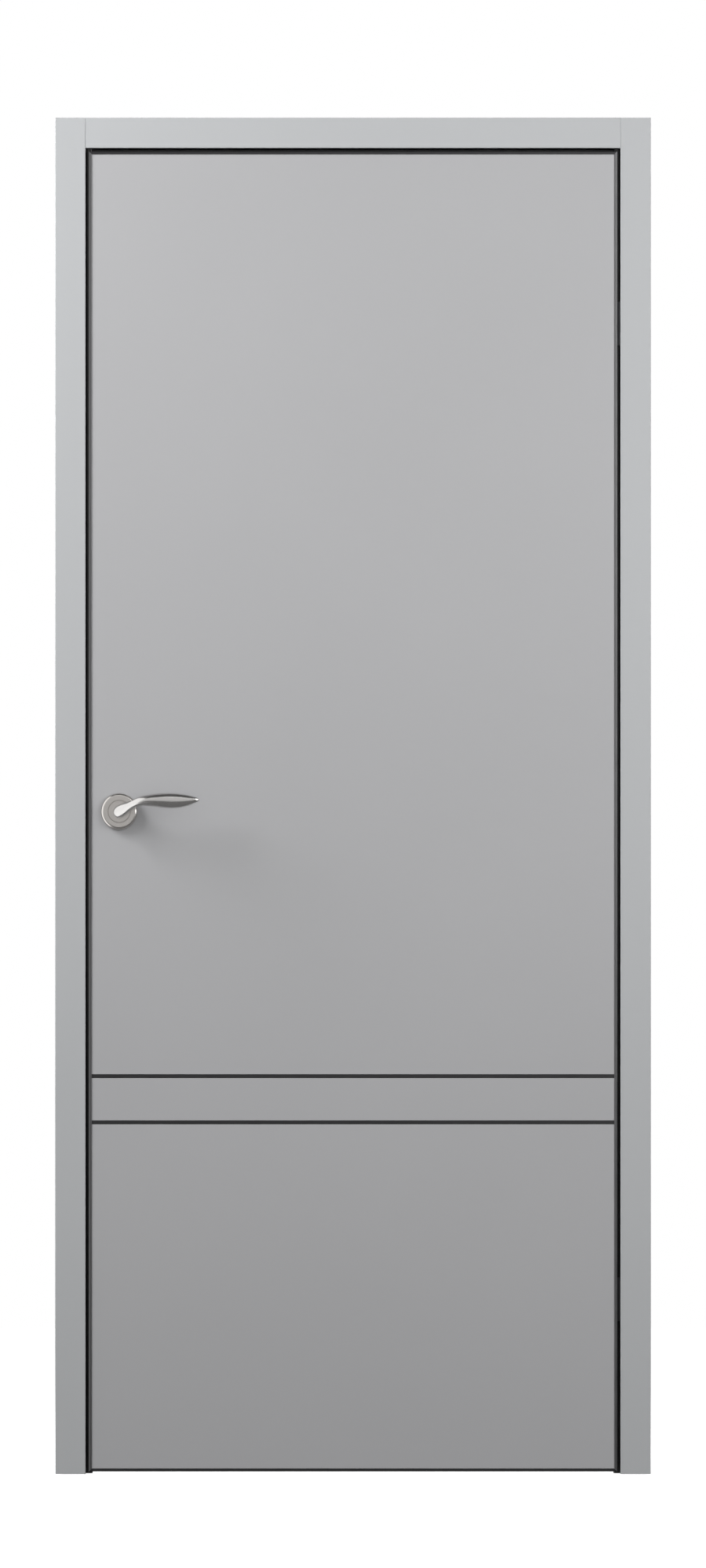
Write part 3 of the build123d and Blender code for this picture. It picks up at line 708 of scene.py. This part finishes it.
@dataclass
class Studio:
    """Camera, lights, floor and the white around them."""

    frame_height: float = 2.3754
    frame_centre: tuple[float, float] = (-0.445, 1.0456)
    distance: float = 30.0
    face_depth: float = -0.053
    sensor: float = 36.0
    floor_size: float = 16.0
    floor_drop: float = 0.0006
    floor_glow: float = 0.95
    dim: float = 0.085
    low_dim: float = 0.15
    horizon: tuple[float, float] = (-0.25, -0.05)
    lights: tuple[SoftBox, ...] = (
        SoftBox("key", (-3.0, -0.9, 2.8), (-0.445, 0.0, 1.1), 1.2, 1.6, 136.0, mirrored=False),
        SoftBox("left_card", (-4.2, -1.5, 1.0), (0.0, -1.5, 1.0), 9.0, 11.8, 334.0, lit=False),
        SoftBox("fill", (-0.445, -4.0, 1.8), (-0.445, 0.0, 1.8), 6.0, 6.0, 44.0, mirrored=False),
        SoftBox("side", (1.4, -2.0, 1.8), (-0.445, 0.0, 1.1), 1.6, 2.0, 45.0),
        SoftBox("front", (-1.1, -4.5, 2.23), (-1.1, 0.0, 2.23), 4.6, 3.2, 21.5),
        SoftBox("over", (-0.7, -2.6, 2.70), (-0.7, 0.0, 1.0), 2.2, 0.2, 2.0),
        SoftBox("back_key", (1.6, 2.4, 2.8), (-0.445, 0.0, 1.1), 1.4, 1.6, 80.0),
        SoftBox("back_side", (-2.8, 2.0, 1.6), (-0.445, 0.0, 1.1), 1.2, 1.6, 50.0),
    )

    def camera(self) -> None:
        """Sets a long lens straight in front of the leaf."""
        data = bpy.data.cameras.new("long_lens")
        data.sensor_width = self.sensor
        data.lens = self.sensor * self.distance / self.frame_height
        data.clip_end = 200.0
        camera = bpy.data.objects.new("long_lens", data)
        across, up = self.frame_centre
        camera.location = (across, self.face_depth - self.distance, up)
        camera.rotation_euler = (math.radians(90.0), 0.0, 0.0)
        bpy.context.scene.collection.objects.link(camera)
        bpy.context.scene.camera = camera

    def floor(self) -> None:
        """Lays a plain white floor that throws no light back on the door."""
        mesh = bpy.data.meshes.new("floor")
        shape = bmesh.new()
        bmesh.ops.create_grid(shape, x_segments=1, y_segments=1, size=self.floor_size / 2)
        middle = (self.frame_centre[0], 0.0, -self.floor_drop)
        bmesh.ops.translate(shape, vec=middle, verts=shape.verts)
        shape.to_mesh(mesh)
        shape.free()
        floor = bpy.data.objects.new("floor", mesh)
        sheet = NodeSheet("pale_floor")
        sheet.surface.inputs["Base Color"].default_value = (0.8, 0.8, 0.8, 1.0)
        sheet.surface.inputs["Roughness"].default_value = 0.9
        sheet.surface.inputs["Emission Color"].default_value = WHITE
        sheet.surface.inputs["Emission Strength"].default_value = self.floor_glow
        mesh.materials.append(sheet.material)
        floor.visible_diffuse = False
        floor.visible_glossy = False
        bpy.context.scene.collection.objects.link(floor)

    def surround(self) -> None:
        """Makes the backdrop white and the room around it dim, a little less so below."""
        world = bpy.data.worlds.new("studio")
        world.use_nodes = True
        tree = world.node_tree
        tree.nodes.clear()
        heading = tree.nodes.new("ShaderNodeTexCoord")
        axes = tree.nodes.new("ShaderNodeSeparateXYZ")
        below = tree.nodes.new("ShaderNodeMapRange")
        below.interpolation_type = "SMOOTHSTEP"
        below.inputs["From Min"].default_value = self.horizon[0]
        below.inputs["From Max"].default_value = self.horizon[1]
        below.inputs["To Min"].default_value = self.low_dim
        below.inputs["To Max"].default_value = self.dim
        room = tree.nodes.new("ShaderNodeBackground")
        white = tree.nodes.new("ShaderNodeBackground")
        for background in (room, white):
            background.inputs["Color"].default_value = WHITE
            background.inputs["Strength"].default_value = 1.0
        path = tree.nodes.new("ShaderNodeLightPath")
        mix = tree.nodes.new("ShaderNodeMixShader")
        out = tree.nodes.new("ShaderNodeOutputWorld")
        tree.links.new(heading.outputs["Generated"], axes.inputs["Vector"])
        tree.links.new(axes.outputs["Z"], below.inputs["Value"])
        tree.links.new(below.outputs["Result"], room.inputs["Strength"])
        tree.links.new(path.outputs["Is Camera Ray"], mix.inputs["Fac"])
        tree.links.new(room.outputs["Background"], mix.inputs[1])
        tree.links.new(white.outputs["Background"], mix.inputs[2])
        tree.links.new(mix.outputs["Shader"], out.inputs["Surface"])
        bpy.context.scene.world = world
        bpy.context.scene.view_settings.view_transform = "Standard"

    def build(self) -> None:
        """Sets up the whole studio."""
        self.camera()
        self.floor()
        self.surround()
        for light in self.lights:
            light.hang()


def main() -> None:
    """Builds and dresses the door set, then the studio around it."""
    logging.basicConfig(level=logging.INFO, format="%(message)s")
    DoorFrame().dress()
    DoorLeaf().dress()
    handles = HandleSet()
    handles.build()
    handles.dress()
    hardware = Hardware()
    hardware.build()
    hardware.dress()
    Studio().build()


if __name__ == "__main__":
    main()
